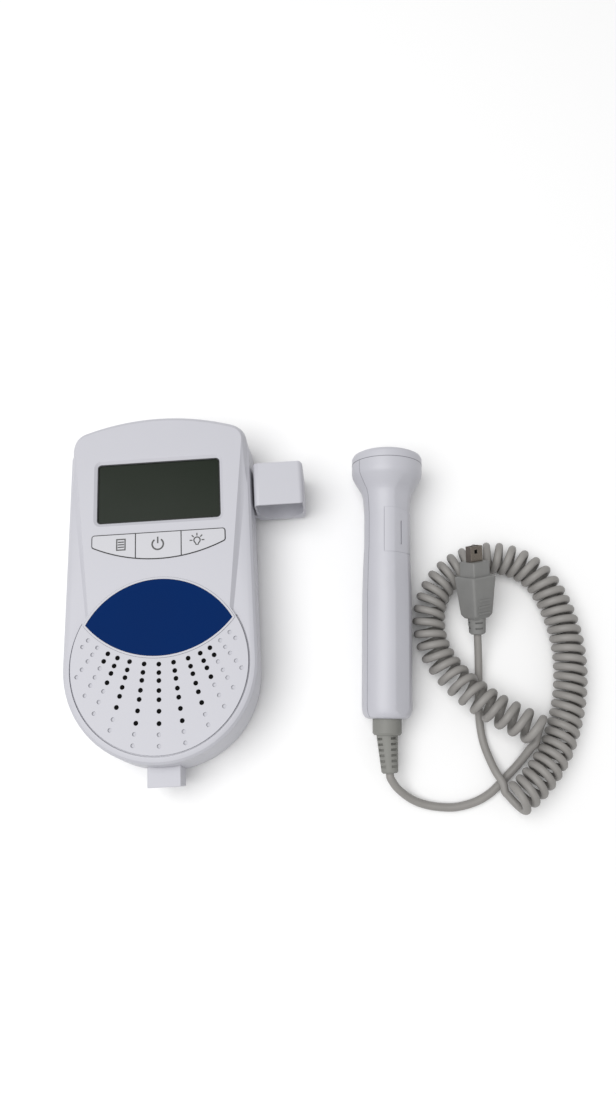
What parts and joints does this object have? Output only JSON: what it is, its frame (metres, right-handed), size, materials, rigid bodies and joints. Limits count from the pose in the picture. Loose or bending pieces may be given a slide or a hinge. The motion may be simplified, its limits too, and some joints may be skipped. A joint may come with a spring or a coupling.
{
  "type": "fetal doppler monitor",
  "caption": "Handheld fetal heart monitor with display, speaker grille, three buttons, a corded ultrasound probe on a curly lead and a clip-on probe holder.",
  "frame": {"origin": "middle of the unit's flat rear face, on the surface that it lies on", "axes": "+Z out of the face with the display, +Y towards the head with the display, +X towards the probe holder"},
  "size_m": [0.1985, 0.1589, 0.0282],
  "materials": {
    "case_plastic": "cool white moulded ABS, fine satin",
    "window": "tinted clear pane",
    "display": "display module, greenish grey",
    "button_plastic": "white moulded button caps",
    "badge_film": "navy plate, bare",
    "board": "green circuit board",
    "dark_plastic": "black moulded plastic",
    "steel": "nickel-plated steel",
    "foam": "foam ring",
    "cell_wrap": "plain cell sleeve",
    "ceramic": "piezo ceramic",
    "cord_rubber": "grey elastomer cord",
    "grip_rubber": "grey moulded strain reliefs and plug"
  },
  "bodies": {
    "unit": {"front_cover": "case_plastic", "rear_cover": "case_plastic", "lcd_window": "window", "lcd_module": "display", "badge": "badge_film", "main_board": "board", "board_chips": "dark_plastic", "tact_switches": "dark_plastic", "board_screws": "steel", "case_screws": "steel", "speaker_basket": "dark_plastic", "speaker_cone": "dark_plastic", "speaker_magnet": "steel", "speaker_gasket": "foam", "battery_a": "cell_wrap", "battery_b": "cell_wrap", "battery_contacts": "steel", "battery_springs": "steel", "headphone_jack": "dark_plastic", "volume_pot": "dark_plastic", "probe_socket": "case_plastic", "socket_contacts": "steel"},
    "menu_button": {"menu_button": "button_plastic"},
    "power_button": {"power_button": "button_plastic"},
    "lamp_button": {"lamp_button": "button_plastic"},
    "battery_door": {"battery_door": "case_plastic"},
    "volume_wheel": {"volume_wheel": "case_plastic"},
    "probe_holder": {"probe_holder": "case_plastic"},
    "probe": {"probe_front_shell": "case_plastic", "probe_rear_shell": "case_plastic", "probe_cap": "case_plastic", "transducer_crystals": "ceramic", "crystal_backing": "foam", "probe_board": "board", "probe_collar": "grip_rubber", "probe_relief": "grip_rubber", "probe_lead": "cord_rubber", "cord_coil": "cord_rubber", "plug_lead": "cord_rubber", "plug_relief": "grip_rubber", "plug_body": "grip_rubber", "plug_shell": "steel", "plug_insert": "dark_plastic"}
  },
  "joints": [
    {"name": "menu_press", "type": "slide", "parent": "unit", "child": "menu_button", "axis": [0, 0, -1], "range_m": [0, 0.0008], "stiffness_N_per_m": 400},
    {"name": "power_press", "type": "slide", "parent": "unit", "child": "power_button", "axis": [0, 0, -1], "range_m": [0, 0.0008], "stiffness_N_per_m": 400},
    {"name": "lamp_press", "type": "slide", "parent": "unit", "child": "lamp_button", "axis": [0, 0, -1], "range_m": [0, 0.0008], "stiffness_N_per_m": 400},
    {"name": "battery_door_slide", "type": "slide", "parent": "unit", "child": "battery_door", "axis": [0, 1, 0], "range_m": [0, 0.062]},
    {"name": "volume_turn", "type": "hinge", "parent": "unit", "child": "volume_wheel", "pos_m": [-0.03013, 0.03, 0.013], "axis": [0, 0, 1], "range_deg": [0, 270]},
    {"name": "holder_slide", "type": "slide", "parent": "unit", "child": "probe_holder", "axis": [0, 1, 0], "range_m": [0, 0.025]},
    {"name": "probe_lift", "type": "slide", "parent": "unit", "child": "probe", "axis": [0, 0, 1], "range_m": [0, 0.06]}
  ]
}
